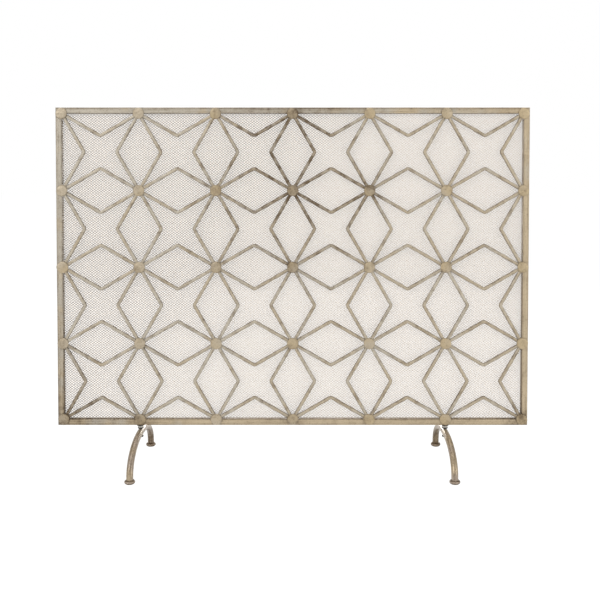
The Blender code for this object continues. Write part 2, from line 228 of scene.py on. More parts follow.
def rubbed_lacquer(
    name, thin, thick, streak_share, tone_share, streak_length=0.045, smudge_share=0.34, drift=(0.18, 0, 0),
    thick_from=0.40, gloss=0.0,
):
    """Champagne lacquer rubbed by hand over bronze primer on mild steel.

    Pigment flakes make it half metallic and satin. The cloth leaves fine streaks along the bar, and
    primer shows in the dents and in flecks. The shade attribute adds the primer colour as painted shade at
    edges, sides and hollows, partly real primer there, and dark patches spread round a few discs, in the
    middle a painted reflection of the dark camera side. thin and thick are the lacquer's colours where it
    lies thinly and thickly; it gets thicker along drift.
    """
    streak_width, shade_share = 0.0016, 0.85
    patch_size, fleck_size, smudge_size = 0.055, 0.0032, 0.016
    paint = colours()
    material, add = new_shader(name)
    coords = add("TexCoord").outputs
    place = coords["Object"]
    shade, tone = [add("Attribute", attribute_name=name).outputs["Fac"] for name in ("shade", "tone")]

    patches = add("TexNoise", {"Vector": place, "Scale": 1 / patch_size, "Detail": 2.0})
    lean = add("VectorMath", place, drift, operation="DOT_PRODUCT")
    depth = add("Math", lean, patches, operation="ADD")
    gold = add("MapRange", {"Value": depth, "From Min": thick_from, "From Max": thick_from + 0.20})
    film = add("Mix", gold, thin, thick, data_type="RGBA")

    # The map runs in metres along the bar and round it, so a streak's sizes divide it
    run = add("VectorMath", coords["UV"], (1 / streak_length, 1 / streak_width, 0), operation="MULTIPLY")
    start = add("Math", tone, 60.0, operation="MULTIPLY")
    streaks = add("TexNoise", {
        "Vector": run, "W": start, "Scale": 1.0, "Detail": 3.0, "Roughness": 0.62,
    }, noise_dimensions="4D")
    streaked = add("MapRange", {
        "Value": streaks, "From Min": 0.46, "From Max": 0.70, "To Max": streak_share,
    })
    smudges = add("TexNoise", {"Vector": place, "Scale": 1 / smudge_size, "Detail": 3.0, "Roughness": 0.6})
    smudged = add("MapRange", {
        "Value": smudges, "From Min": 0.48, "From Max": 0.72, "To Max": smudge_share,
    })
    flecks = add("TexNoise", {"Vector": place, "Scale": 1 / fleck_size, "Detail": 1.0})
    flecked = add("MapRange", {"Value": flecks, "From Min": 0.55, "From Max": 0.70, "To Max": 0.28})

    # Darkening spreads from each dark patch, in the middle a painted reflection, and a coarse pattern breaks
    # its edge
    broken = add("MapRange", {
        "Value": smudges, "From Min": 0.35, "From Max": 0.62, "To Min": 0.55, "To Max": 1.25,
    })
    darkening = add("MapRange", {"Value": tone, "To Min": 0.55, "To Max": 1.45})
    uneven = add("Math", broken, darkening, operation="MULTIPLY")
    covered = add("Math", shade, shade_share, operation="MULTIPLY")
    for disc, reach, depth in DARK_PATCHES:
        away = add("VectorMath", place, centre_of(disc), operation="DISTANCE")
        patch_darkening = add("MapRange", {
            "Value": away, "From Min": 0.01, "From Max": reach, "To Min": depth, "To Max": 0.0,
        })
        covered = add("Math", patch_darkening, uneven, covered, operation="MULTIPLY_ADD")
    for share in (streaked, smudged, flecked):
        covered = add("Math", covered, share, operation="ADD")
    covered = add("Math", tone, tone_share, covered, operation="MULTIPLY_ADD")
    # How far the colour turns to primer: real primer streaks and flecks, plus painted shade and painted
    # reflection
    shade_mix = add("MapRange", covered)
    colour = add("Mix", shade_mix, film, paint.primer, data_type="RGBA")
    rough = add("MapRange", {"Value": shade_mix, "To Min": 0.44 - gloss, "To Max": 0.58 - gloss})
    grain = add("Math", streaks, flecks, operation="ADD")
    relief = add("Bump", {"Height": grain, "Strength": 0.35, "Distance": 0.0002})
    finish_shader(add, {"Base Color": colour, "Roughness": rough, "Metallic": 0.45, "Normal": relief})
    return material


def coated_wire(name, shade_mix, far_end_colour):
    """Baked coating on steel wire, satin, shifting to a second colour to the right and below as painted
    light.
    """
    material, add = new_shader(name)
    place = add("TexCoord").outputs["Object"]
    axes = add("SeparateXYZ", place)
    drift = add("TexNoise", {"Vector": place, "Scale": 9.0, "Detail": 2.0})
    # Painted light across the mesh: the colour shifts to the second colour towards the right and the bottom
    lower = add("Math", axes.outputs["Z"], -0.7, axes.outputs["X"], operation="MULTIPLY_ADD")
    across = add("Math", drift, 0.25, lower, operation="MULTIPLY_ADD")
    painted_light_mask = add("MapRange", {"Value": across, "From Min": -0.42, "From Max": -0.18})
    colour = add("Mix", painted_light_mask, shade_mix, far_end_colour, data_type="RGBA")
    rough = add("MapRange", {"Value": drift, "To Min": 0.45, "To Max": 0.60})
    finish_shader(add, {"Base Color": colour, "Roughness": rough, "Metallic": 0.2})
    return material


def small_part_finish(name, colour, dull_and_shade_colour, metallic, roughness, grain_size):
    """One finish of the fixings, duller in the hollows of its grain and with painted shade where the shade
    attribute says so.
    """
    material, add = new_shader(name)
    place = add("TexCoord").outputs["Object"]
    grain = add("TexNoise", {"Vector": place, "Scale": 1 / grain_size, "Detail": 3.0})
    dull = add("MapRange", {"Value": grain, "From Min": 0.42, "From Max": 0.66, "To Max": 0.5})
    shade = add("Attribute", attribute_name="shade").outputs["Fac"]
    total = add("Math", dull, shade, operation="ADD", use_clamp=True)
    mixed = add("Mix", total, colour, dull_and_shade_colour, data_type="RGBA")
    rough = add("MapRange", {"Value": grain, "To Min": roughness - 0.08, "To Max": roughness + 0.08})
    relief = add("Bump", {"Height": grain, "Strength": 0.2, "Distance": 0.0001})
    finish_shader(add, {"Base Color": mixed, "Roughness": rough, "Metallic": metallic, "Normal": relief})
    return material


# ---- meshes


def lengths_along(points):
    """The running length at each point of a line."""
    lengths = [0.0]
    for before, after in zip(points, points[1:]):
        lengths.append(lengths[-1] + (Vector(after) - Vector(before)).length)
    return lengths


def new_object(name, data):
    """An object in the scene."""
    obj = bpy.data.objects.new(name, data)
    bpy.context.scene.collection.objects.link(obj)
    return obj


def finish_mesh(name, bm, material, sharp_angle=math.radians(42)):
    """Turns a bmesh into an object whose faces point outwards."""
    bmesh.ops.remove_doubles(bm, verts=bm.verts, dist=1e-7)
    bmesh.ops.recalc_face_normals(bm, faces=bm.faces)
    mesh = bpy.data.meshes.new(name)
    bm.to_mesh(mesh)
    bm.free()
    mesh.shade_smooth()
    mesh.set_sharp_from_angle(angle=sharp_angle)
    if material is not None:
        mesh.materials.append(material)
    return new_object(name, mesh)


def skin(name, rings, shades, material, tone=0.5, closed=False):
    """A skin over rings of points, with its map in metres: along the rings, then round them.

    closed joins the last ring to the first one, and otherwise both ends get a cap. shades holds
    how far each point turns to the primer colour: partly real primer, partly painted shade.
    """
    bm = bmesh.new()
    uv_layer = bm.loops.layers.uv.new("UVMap")
    shade_layer = bm.verts.layers.float.new("shade")
    tone_layer = bm.verts.layers.float.new("tone")
    rows = []
    for ring, ring_shades in zip(rings, shades):
        row = []
        for point, shade in zip(ring, ring_shades):
            vert = bm.verts.new(point)
            vert[shade_layer] = shade
            vert[tone_layer] = tone
            row.append(vert)
        rows.append(row)
    count = len(rings[0])
    widest = max(rings, key=lambda ring: sum((Vector(a) - Vector(b)).length for a, b in zip(ring, ring[1:])))
    around = lengths_along([*widest, widest[0]])
    middles = [sum((Vector(point) for point in ring), Vector()) / count for ring in rings]
    if closed:
        middles = [ring[0] for ring in rings] + [rings[0][0]]
    along = lengths_along(middles)
    spans = len(rows) if closed else len(rows) - 1
    for i in range(spans):
        after = rows[(i + 1) % len(rows)]
        for j in range(count):
            k = (j + 1) % count
            face = bm.faces.new((rows[i][j], after[j], after[k], rows[i][k]))
            corners = ((i, j), (i + 1, j), (i + 1, j + 1), (i, j + 1))
            for loop, (a, b) in zip(face.loops, corners):
                loop[uv_layer].uv = (along[a], around[b])
    if not closed:
        for end in (0, len(rows) - 1):
            face = bm.faces.new(rows[end])
            for index, loop in enumerate(face.loops):
                loop[uv_layer].uv = (along[end], around[index])
    return finish_mesh(name, bm, material)


def turned(name, profile, steps, material, shades=None, centre=(0, 0, 0), axis="Z", stretch=1.0, tone=0.5):
    """A shape turned about the Z or Y axis, stretched along X. A profile that leaves the axis has a bore."""
    shades = shades or [0.0] * len(profile)
    rings = []
    for step in range(steps):
        angle = 2 * math.pi * step / steps
        cosine, sine = math.cos(angle), math.sin(angle)
        ring = []
        for radius, height in profile:
            across, along = radius * cosine * stretch, radius * sine
            point = (across, along, height) if axis == "Z" else (across, height, along)
            ring.append(Vector(centre) + Vector(point))
        rings.append(ring)
    return skin(name, rings, [shades] * steps, material, tone, closed=True)


def grow(name, tree, settings):
    """Runs a Geometry Nodes tree and keeps its result as a plain mesh object."""
    obj = new_object(name, bpy.data.meshes.new(name))
    modifier = obj.modifiers.new("build", "NODES")
    modifier.node_group = tree
    sockets = {item.name: item.identifier for item in tree.interface.items_tree if item.in_out == "INPUT"}
    for label, value in settings.items():
        modifier[sockets[label]] = value
    graph = bpy.context.evaluated_depsgraph_get()
    mesh = bpy.data.meshes.new_from_object(
        obj.evaluated_get(graph), preserve_all_data_layers=True, depsgraph=graph
    )
    if not mesh.polygons:
        raise RuntimeError(f"{name} came out empty")
    obj.modifiers.remove(modifier)
    empty_mesh = obj.data
    obj.data = mesh
    bpy.data.meshes.remove(empty_mesh)
    mesh.name = name
    mesh.shade_smooth()
    return obj


def new_tree(name, **labels_by_kind):
    """A Geometry Nodes tree, the function that adds nodes to it, and the outputs of its named inputs."""
    tree = bpy.data.node_groups.new(name, "GeometryNodeTree")
    for kind, labels in labels_by_kind.items():
        for label in labels:
            tree.interface.new_socket(label, in_out="INPUT", socket_type="NodeSocket" + kind)
    tree.interface.new_socket("Geometry", in_out="OUTPUT", socket_type="NodeSocketGeometry")
    add = partial(add_node, tree)
    return tree, add, add("GroupInput").outputs


def end_tree(add, instances, finish, offset=None):
    """Makes instances real, moves their points by an offset, gives them a finish and ends the tree."""
    real = add("RealizeInstances", instances)
    if offset is not None:
        real = add("SetPosition", {"Geometry": real, "Offset": offset})
    add("GroupOutput", {"Geometry": add("SetMaterial", {"Geometry": real, "Material": finish})})


def add_tones(add, instances, seed):
    """Gives each instance its own tone from 0 to 1."""
    tone = add("RandomValue", {"Seed": seed}, data_type="FLOAT")
    stored = add("StoreNamedAttribute", {
        "Geometry": instances, "Name": "tone", "Value": tone,
    }, data_type="FLOAT", domain="INSTANCE")
    return stored


def dent_offset(add, given):
    """The move of each point that hammer marks give, in or out along its normal."""
    place = add("InputPosition")
    normal = add("InputNormal")
    density = add("Math", 1.0, given["Dent Size"], operation="DIVIDE")
    marks = add("TexVoronoi", {"Vector": place, "Scale": density, "Smoothness": 0.35}, feature="SMOOTH_F1")
    level = add("Math", marks, 0.55, operation="SUBTRACT")
    depth = add("Math", level, given["Dent Depth"], operation="MULTIPLY")
    move = add("VectorMath", {0: normal, "Scale": depth}, operation="SCALE")
    return move


def spin_of(add, given):
    """A chance angle for each copy."""
    return add("RandomValue", {"Max": 2 * math.pi, "Seed": given["Seed"]}, data_type="FLOAT")


def end_copies(add, given, piece, points, angle, scale=(1, 1, 1)):
    """Puts a copy of a piece on each point, turned about Y and dented where it lies, and ends the tree."""
    pattern = add("ObjectInfo", given[piece]).outputs["Geometry"]
    facing = add("CombineXYZ", {"Y": angle})
    copies = add("InstanceOnPoints", {
        "Points": points, "Instance": pattern, "Rotation": facing, "Scale": scale,
    })
    end_tree(add, add_tones(add, copies, given["Seed"]), given["Finish"], dent_offset(add, given))


def hand_over(obj, body, nodes=()):
    """Ties a finished piece to its body and hides the frame nodes that it stands for."""
    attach(obj, body)
    if nodes:
        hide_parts(*nodes)


def drop(obj):
    """Removes a pattern piece once its copies are made."""
    mesh = obj.data
    bpy.data.objects.remove(obj)
    bpy.data.meshes.remove(mesh)


# ---- frame


def tube_section(corner):
    """Points round the tube, as (distance in from the outer edge, distance back from the front)."""
    corner_steps = 3
    flats = (0.2, 0.36, 0.5, 0.64, 0.8)
    points = []
    far = TUBE - corner
    centres = ((corner, corner), (far, corner), (far, far), (corner, far))
    for turn, (p, q) in enumerate(centres):
        for step in range(corner_steps + 1):
            angle = math.radians(180 + 90 * turn + 90 * step / corner_steps)
            points.append((p + corner * math.cos(angle), q + corner * math.sin(angle)))
        ahead = centres[(turn + 1) % 4]
        first = points[-1]
        for share in flats:
            step_p = (ahead[0] - p) * share
            step_q = (ahead[1] - q) * share
            points.append((first[0] + step_p, first[1] + step_q))
    return points


def tube_shade(p, q, outer_band):
    """How much primer colour one place round the tube gets: painted shade, partly real primer, on the inner
    side, outer side, back and corners, and a darker band along the front's outer edge and a little at its
    inner edge.
    """
    inner_side, outer_side, back = 0.55, 0.34, 0.20
    edge = TUBE * 0.03
    if p > TUBE - edge:
        return inner_side
    if p < edge:
        return outer_side
    if q > TUBE - edge:
        return back
    if q > edge:
        return 0.35
    across = p / TUBE
    return outer_band * max(0.0, 1 - across / 0.45) + 0.14 * max(0.0, (across - 0.8) / 0.2)


def make_rail(node, material, outer_band, seed):
    """One mitred length of square tube, a little uneven from hand dressing."""
    section = tube_section(sizes().tube_corner)
    upright = node.endswith("stile")
    far = node in ("top_rail", "right_stile")
    low = FRAME_LOW.z if upright else FRAME_LOW.x
    high = FRAME_HIGH.z if upright else FRAME_HIGH.x
    station, seam, wobble = 0.012, 0.00008, 0.00010
    count = round((high - low) / station)
    outer = (FRAME_HIGH.x if upright else FRAME_HIGH.z) if far else (FRAME_LOW.x if upright else FRAME_LOW.z)
    inwards = -1 if far else 1
    front = FRAME_LOW.y
    rings, shades = [], []
    for index in range(count + 1):
        share = index / count
        ring, ring_shades = [], []
        for p, q in section:
            start, end = low + p + seam, high - p - seam
            run = start + (end - start) * share
            uneven = wobble * noise.noise(Vector((run * 30, p * 200 + seed, q * 200)))
            side = outer + inwards * (p + uneven)
            depth = front + q + uneven * (1 if q > TUBE / 2 else -0.4)
            ring.append((side, depth, run) if upright else (run, depth, side))
            ring_shades.append(tube_shade(p, q, outer_band))
        rings.append(ring)
        shades.append(ring_shades)
    return skin(node + "_tube", rings, shades, material, tone=seed / 10)


# ---- star bars


def bar_section(width, thickness, rounding):
    """Points round a star bar, as (offset towards the star, distance back from the front, primer colour with
    painted shade).
    """
    rise = min(rounding * 0.6, thickness * 0.45)
    # The rounded edges and the back are darker, partly primer and partly painted shade; the middle of the
    # face stays light
    arc = ((0.0, 1.0, 0.60), (0.13, 0.5, 0.36), (0.5, 0.13, 0.12), (1.0, 0.0, 0.02))
    half = width / 2
    left = [(-half + rounding * a, rise * b, shade) for a, b, shade in arc]
    right = [(-offset, depth, shade) for offset, depth, shade in reversed(left)]
    middle = [(0.0, -rise * 0.06, 0.06)]
    corners = ((half, 0.6, 0.75), (half, 1.0, 0.5), (-half, 1.0, 0.5), (-half, 0.6, 0.75))
    back = [(offset, thickness * share, shade) for offset, share, shade in corners]
    return left + middle + right + back


def make_bar_pattern():
    """One bent bar: the V on the upper side of a cell whose middle is the origin."""
    given = sizes()
    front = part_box(STAR_NODES[0])[0].y
    thickness = size_of(STAR_NODES[0]).y
    clear = OPENING_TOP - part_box(STAR_NODES[0])[1].z
    angle = given.arm_angle
    sine, cosine = math.sin(angle), math.cos(angle)
    half_cell = CELL / 2
    apex = half_cell * (1 - math.tan(angle))
    bend_middle = apex + given.bend_radius / cosine
    arm = (half_cell - given.bend_radius * sine) * cosine + (
        half_cell - bend_middle + given.bend_radius * cosine
    ) * sine
    arm_steps, bend_steps = 14, 6
    section = bar_section(given.bar_width, thickness, given.bar_round)

    def arm_point(offset, share, side):
        """A point of the right or left arm: share is 0 at the disc and 1 at the bend."""
        to_diagonal = offset * (cosine + sine) / (cosine - sine)
        to_side = (clear - offset * cosine) / sine
        end = max(to_diagonal, to_side)
        back_along = end + (arm - end) * share
        x = half_cell + offset * sine - back_along * cosine
        z = half_cell - offset * cosine - back_along * sine
        return side * x, z

    def bend_point(offset, share):
        """A point of the bend: share runs from 0 on the left to 1 on the right."""
        turn = angle * (2 * share - 1)
        radius = given.bend_radius + offset
        return radius * math.sin(turn), bend_middle - radius * math.cos(turn)

    stations = [("left", step / arm_steps) for step in range(arm_steps)]
    stations += [("bend", step / bend_steps) for step in range(bend_steps + 1)]
    stations += [("right", 1 - step / arm_steps) for step in range(1, arm_steps + 1)]
    rings, shades = [], []
    for part, share in stations:
        ring = []
        for offset, depth, _ in section:
            if part == "bend":
                x, z = bend_point(offset, share)
            else:
                x, z = arm_point(offset, share, -1 if part == "left" else 1)
            ring.append((x, front + depth, z))
        rings.append(ring)
        shades.append([shade for _, _, shade in section])
    return skin("bar_pattern", rings, shades, None)


def star_row_tree():
    """Four turned copies of a bar in each cell of one row, dented where they lie."""
    tree, add, given = new_tree(
        "star_row", Object=["Bar"], Int=["Columns", "Seed"],
        Float=["Cell", "Row Height", "Dent Depth", "Dent Size"], Material=["Finish"],
    )
    count = add("Math", given["Columns"], 4.0, operation="MULTIPLY")
    line = add("MeshLine", {"Count": count}, mode="OFFSET")
    quarter = add("Math", add("InputIndex"), 4.0, operation="DIVIDE")
    column = add("Math", quarter, operation="FLOOR")
    turn = add("Math", quarter, operation="FRACT")
    angle = add("Math", turn, 2 * math.pi, operation="MULTIPLY")
    last = add("Math", given["Columns"], 1.0, operation="SUBTRACT")
    middle = add("Math", last, -0.5, column, operation="MULTIPLY_ADD")
    across = add("Math", middle, given["Cell"], operation="MULTIPLY")
    spot = add("CombineXYZ", {"X": across, "Z": given["Row Height"]})
    points = add("SetPosition", {"Geometry": line, "Position": spot})
    end_copies(add, given, "Bar", points, angle)
    return tree


# ---- discs


def make_disc_pattern():
    """One round disc with a slight dome, its middle at the origin in X and Z."""
    low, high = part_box(DISC_NODES[0])
    radius = (high.x - low.x) / 2
    thickness = high.y - low.y
    steps = 36
    dome = sizes().disc_dome
    profile = []
    # The face darkens a little towards the rim, and the rim and back more, partly primer and partly painted
    # shade
    for share in (0.0, 0.16, 0.32, 0.48, 0.62, 0.75, 0.86):
        height = low.y - dome * (1 - share * share) + dome * 0.4
        profile.append((radius * share, height, 0.02 + 0.16 * share ** 6))
    profile += [
        (radius * 0.94, low.y + dome * 0.55, 0.14),
        (radius * 0.985, low.y + thickness * 0.32, 0.25),
        (radius, low.y + thickness * 0.55, 0.42),
        (radius * 0.99, high.y - thickness * 0.08, 0.85),
        (radius * 0.97, high.y, 0.7),
        (0.0, high.y, 0.5),
    ]
    outline = [(r, y) for r, y, _ in profile]
    shades = [shade for _, _, shade in profile]
    return turned("disc_pattern", outline, steps, None, shades, axis="Y")


def disc_grid_tree():
    """A disc on every node of the grid, each turned, sized and dented a little differently."""
    tree, add, given = new_tree(
        "disc_grid", Object=["Disc"], Int=["Columns", "Rows", "Seed"],
        Float=["Cell", "Dent Depth", "Dent Size", "Size Spread"], Vector=["Middle"], Material=["Finish"],
    )
    counts, spans = [], []
    for label in ("Columns", "Rows"):
        counts.append(add("Math", given[label], 1.0, operation="ADD"))
        spans.append(add("Math", given[label], given["Cell"], operation="MULTIPLY"))
    grid = add("MeshGrid", {
        "Size X": spans[0], "Size Y": spans[1], "Vertices X": counts[0], "Vertices Y": counts[1],
    })
    upright = add("Transform", {
        "Geometry": grid, "Translation": given["Middle"], "Rotation": (math.pi / 2, 0, 0),
    })
    smallest = add("Math", 1.0, given["Size Spread"], operation="SUBTRACT")
    largest = add("Math", 1.0, given["Size Spread"], operation="ADD")
    spread = []
    for shift in (1.0, 2.0):
        seed = add("Math", given["Seed"], shift, operation="ADD")
        limits = {2: smallest, 3: largest, "Seed": seed}
        spread.append(add("RandomValue", limits, data_type="FLOAT"))
    scale = add("CombineXYZ", {"X": spread[0], "Y": 1.0, "Z": spread[1]})
    end_copies(add, given, "Disc", upright, spin_of(add, given), scale)
    return tree


# ---- mesh


def end_wires(add, paths, given):
    """Makes wires of the sheet's paths, puts them in their place and ends the tree."""
    radius = add("Math", given["Wire Diameter"], 0.5, operation="MULTIPLY")
    section = add("CurvePrimitiveCircle", {"Resolution": 4, "Radius": radius})
    wires = add("CurveToMesh", {"Curve": paths, "Profile Curve": section, "Fill Caps": True})
    seated = add("Transform", {"Geometry": wires, "Translation": given["Middle"]})
    end_tree(add, seated, given["Finish"])


def wire_mesh_tree():
    """Wires in two slanting directions that pass over and under each other at every crossing."""
    tree, add, given = new_tree(
        "wire_mesh", Int=["Reach"], Vector=["Middle"], Material=["Finish"],
        Float=[
            "Sheet Width", "Sheet Height", "Diamond Width", "Diamond Height", "Wire Diameter", "Weave Depth",
            "Low X", "High X",
        ],
    )
    count = add("Math", given["Reach"], 2.0, 1.0, operation="MULTIPLY_ADD")
    first = add("Math", given["Reach"], -1.0, operation="MULTIPLY")
    starts = [
        add("CombineXYZ", {"X": first}),
        add("CombineXYZ", {"Y": first}),
    ]
    lines = []
    for start, step in zip(starts, ((1, 0, 0), (0, 1, 0))):
        lines.append(add("MeshLine", {
            "Count": count, "Start Location": start, "Offset": step,
        }, mode="OFFSET"))
    copies = add("InstanceOnPoints", {"Points": lines[1], "Instance": lines[0]})
    flat = add("RealizeInstances", copies)

    # A crossing's two whole numbers give its place; their sum, odd or even, says over or under
    numbers = add("SeparateXYZ", add("InputPosition"))
    total = add("Math", numbers.outputs["X"], numbers.outputs["Y"], operation="ADD")
    gap = add("Math", numbers.outputs["X"], numbers.outputs["Y"], operation="SUBTRACT")
    half_turns = add("Math", total, math.pi, operation="MULTIPLY")
    parity = add("Math", half_turns, operation="COSINE")
    parts = []
    amounts = ((total, "Diamond Width", 0.5), (parity, "Weave Depth", 1.0), (gap, "Diamond Height", 0.5))
    for amount, label, share in amounts:
        scaled = add("Math", amount, given[label], operation="MULTIPLY")
        parts.append(add("Math", scaled, share, operation="MULTIPLY"))
    crossing = add("CombineXYZ", {"X": parts[0], "Y": parts[1], "Z": parts[2]})
    rising = add("SetPosition", {"Geometry": flat, "Position": crossing})
    falling = add("Transform", {"Geometry": rising, "Rotation": (math.pi, 0, 0)})
    both = add("JoinGeometry", [rising, falling])

    # Only crossings inside the sheet and inside this part of it stay
    axes = add("SeparateXYZ", add("InputPosition"))
    slack = 0.0001
    outside = []
    for axis, label in (("X", "Sheet Width"), ("Z", "Sheet Height")):
        away = add("Math", axes.outputs[axis], operation="ABSOLUTE")
        limit = add("Math", given[label], 0.5, slack, operation="MULTIPLY_ADD")
        outside.append(add("Compare", away, limit, operation="GREATER_THAN", data_type="FLOAT"))
    low = add("Math", given["Low X"], slack, operation="SUBTRACT")
    high = add("Math", given["High X"], slack, operation="ADD")
    outside.append(add("Compare", axes.outputs["X"], low, operation="LESS_THAN", data_type="FLOAT"))
    outside.append(add("Compare", axes.outputs["X"], high, operation="GREATER_THAN", data_type="FLOAT"))
    cut = outside[0]
    for other in outside[1:]:
        cut = add("BooleanMath", cut, other, operation="OR")
    kept = add("DeleteGeometry", {"Geometry": both, "Selection": cut})

    paths = add("MeshToCurve", kept)
    level = add("SetCurveNormal", {"Curve": paths}, mode="Z_UP")
    end_wires(add, level, given)
    return tree


def fine_gauze_tree():
    """Fine straight wires from edge to edge of the sheet, upright ones before level ones."""
    tree, add, given = new_tree(
        "fine_gauze", Float=["Sheet Width", "Sheet Height", "Opening", "Wire Diameter"], Vector=["Middle"],
        Material=["Finish"],
    )
    wire = add("CurvePrimitiveLine", {"Start": (-0.5, 0, 0), "End": (0.5, 0, 0)})
    families = []
    for across, along, step, facing, side in (
        ("Sheet Width", "Sheet Height", (1, 0, 0), (0, math.pi / 2, 0), -0.5),
        ("Sheet Height", "Sheet Width", (0, 0, 1), (0, 0, 0), 0.5),
    ):
        openings = add("Math", given[across], given["Opening"], operation="DIVIDE")
        count = add("Math", openings, operation="FLOOR")
        pitch = add("Math", given[across], count, operation="DIVIDE")
        less = add("Math", pitch, given[across], operation="SUBTRACT")
        start = add("Math", less, 0.5, operation="MULTIPLY")
        first = add("VectorMath", {0: step, "Scale": start}, operation="SCALE")
        depth = add("Math", given["Wire Diameter"], side, operation="MULTIPLY")
        layer = add("CombineXYZ", {"Y": depth})
        place = add("VectorMath", first, layer, operation="ADD")
        stride = add("VectorMath", {0: step, "Scale": pitch}, operation="SCALE")
        line = add("MeshLine", {"Count": count, "Start Location": place, "Offset": stride}, mode="OFFSET")
        length = add("CombineXYZ", {"X": given[along], "Y": 1.0, "Z": 1.0})
        families.append(add("InstanceOnPoints", {
            "Points": line, "Instance": wire, "Rotation": facing, "Scale": length,
        }))
    both = add("JoinGeometry", families)
    paths = add("RealizeInstances", both)
    end_wires(add, paths, given)
    return tree


# ---- rear strips


def make_strip(node, material, seed):
    """One flat strip with its edges eased, a little uneven along its length."""
    low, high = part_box(node)
    long_axis = 0 if high.x - low.x > high.z - low.z else 2
    wide_axis = 2 - long_axis
    eased = 0.0004
    start, end = low[long_axis], high[long_axis]
    wide_low, wide_high = low[wide_axis], high[wide_axis]
    station = 0.015
    count = round((end - start) / station)
    section = [
        (wide_low, low.y + eased), (wide_low + eased, low.y),
        (wide_high - eased, low.y), (wide_high, low.y + eased),
        (wide_high, high.y - eased), (wide_high - eased, high.y),
        ((wide_low + wide_high) / 2, high.y + eased * 0.2),
        (wide_low + eased, high.y), (wide_low, high.y - eased),
    ]
    edge_shades = [0.5, 0.4, 0.4, 0.5, 0.4, 0.2, 0.1, 0.2, 0.4]
    rings = []
    for index in range(count + 1):
        run = start + (end - start) * index / count
        ring = []
        for wide, depth in section:
            uneven = 0.00008 * noise.noise(Vector((run * 40, wide * 100, seed)))
            point = [0, depth + (uneven if depth > centre_of(node).y else 0), 0]
            point[long_axis] = run
            point[wide_axis] = wide
            ring.append(point)
        rings.append(ring)
    return skin(node + "_flat_bar", rings, [edge_shades] * len(rings), material, tone=seed / 10)


def make_tack_pattern():
    """One tack weld: a low rough bead that faces backwards."""
    radius, height = 0.0029, 0.0007
    outline = ((0.0, 1.0), (0.35, 0.93), (0.65, 0.68), (0.86, 0.36), (1.0, 0.0), (0.9, -0.25), (0.0, -0.25))
    profile = [(radius * r, height * y) for r, y in outline]
    return turned("tack_pattern", profile, 14, None, [0.35] * len(profile), axis="Y", stretch=1.25)


def tack_line_tree():
    """Tack welds at even steps along the rectangle of strips."""
    tree, add, given = new_tree(
        "tack_line", Object=["Tack"], Float=["Width", "Height", "Spacing", "Dent Depth", "Dent Size"],
        Vector=["Middle"], Int=["Seed"], Material=["Finish"],
    )
    loop = add("CurvePrimitiveQuadrilateral", {"Width": given["Width"], "Height": given["Height"]})
    upright = add("Transform", {
        "Geometry": loop, "Translation": given["Middle"], "Rotation": (math.pi / 2, 0, 0),
    })
    spaced = add("ResampleCurve", {"Curve": upright, "Length": given["Spacing"]}, mode="LENGTH")
    end_copies(add, given, "Tack", spaced, spin_of(add, given))
    return tree


# ---- legs


def make_arch(side, material):
    """One leg: a round rod bent to an arch, with shallow flats along it from the bender."""
    low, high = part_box(side + "_arch")
    radius = (high.x - low.x) / 2
    middle_x = (low.x + high.x) / 2
    span = (high.y - low.y) / 2 - radius
    stub, power = 0.006, 2.2
    crown, spring = high.z - radius, low.z + stub
    arch_steps, round_steps = 64, 32
    flat_depth, ripple = 0.00022, 0.00012
    points = [Vector((middle_x, -span, low.z)), Vector((middle_x, -span, low.z + stub / 2))]
    for step in range(arch_steps + 1):
        angle = math.pi * step / arch_steps
        across = -math.copysign(abs(math.cos(angle)) ** (2 / power), math.cos(angle))
        up = max(math.sin(angle), 0.0) ** (2 / power)
        points.append(Vector((middle_x, span * across, spring + (crown - spring) * up)))
    points += [Vector((middle_x, span, low.z + stub / 2)), Vector((middle_x, span, low.z))]
    rings, shades = [], []
    sideways = Vector((1, 0, 0))
    for index, point in enumerate(points):
        before = points[max(index - 1, 0)]
        after = points[min(index + 1, len(points) - 1)]
        outwards = (after - before).normalized().cross(sideways).normalized()
        if index in (0, 1, len(points) - 2, len(points) - 1):
            outwards = Vector((0, math.copysign(1, point.y), 0))
        if outwards.z < 0 or (abs(outwards.z) < 1e-3 and outwards.y * point.y < 0):
            outwards = -outwards
        height = (point.z - low.z) / (crown - low.z)
        ring, ring_shades = [], []
        for step in range(round_steps):
            angle = 2 * math.pi * step / round_steps
            facing = sideways * math.sin(angle) + outwards * math.cos(angle)
            flats = flat_depth * (0.5 - 0.5 * math.cos(8 * angle))
            rough = ripple * noise.noise(facing * 2.5 + point * 45)
            ring.append(point + facing * (radius - flats - abs(rough)))
            inside = max(0.0, 0.25 - math.cos(angle))
            # Painted shade: the front arm's face darkens towards the crown, shaded by the rail, the rear arm
            # darkens down to its foot, the inner side of the arch is darker, and the flats a little
            if point.y < 0:
                darkening = (0.20 + 0.95 * height ** 3) * max(0.0, -facing.y)
            else:
                darkening = 0.42 * (1 - height ** 6)
            edge = 0.10 * (0.5 - 0.5 * math.cos(8 * angle))
            ring_shades.append(darkening + 0.30 * min(inside, 1.0) + edge)
        rings.append(ring)
        shades.append(ring_shades)
    return skin(side + "_leg_rod", rings, shades, material, tone=0.35 if side == "left" else 0.55)


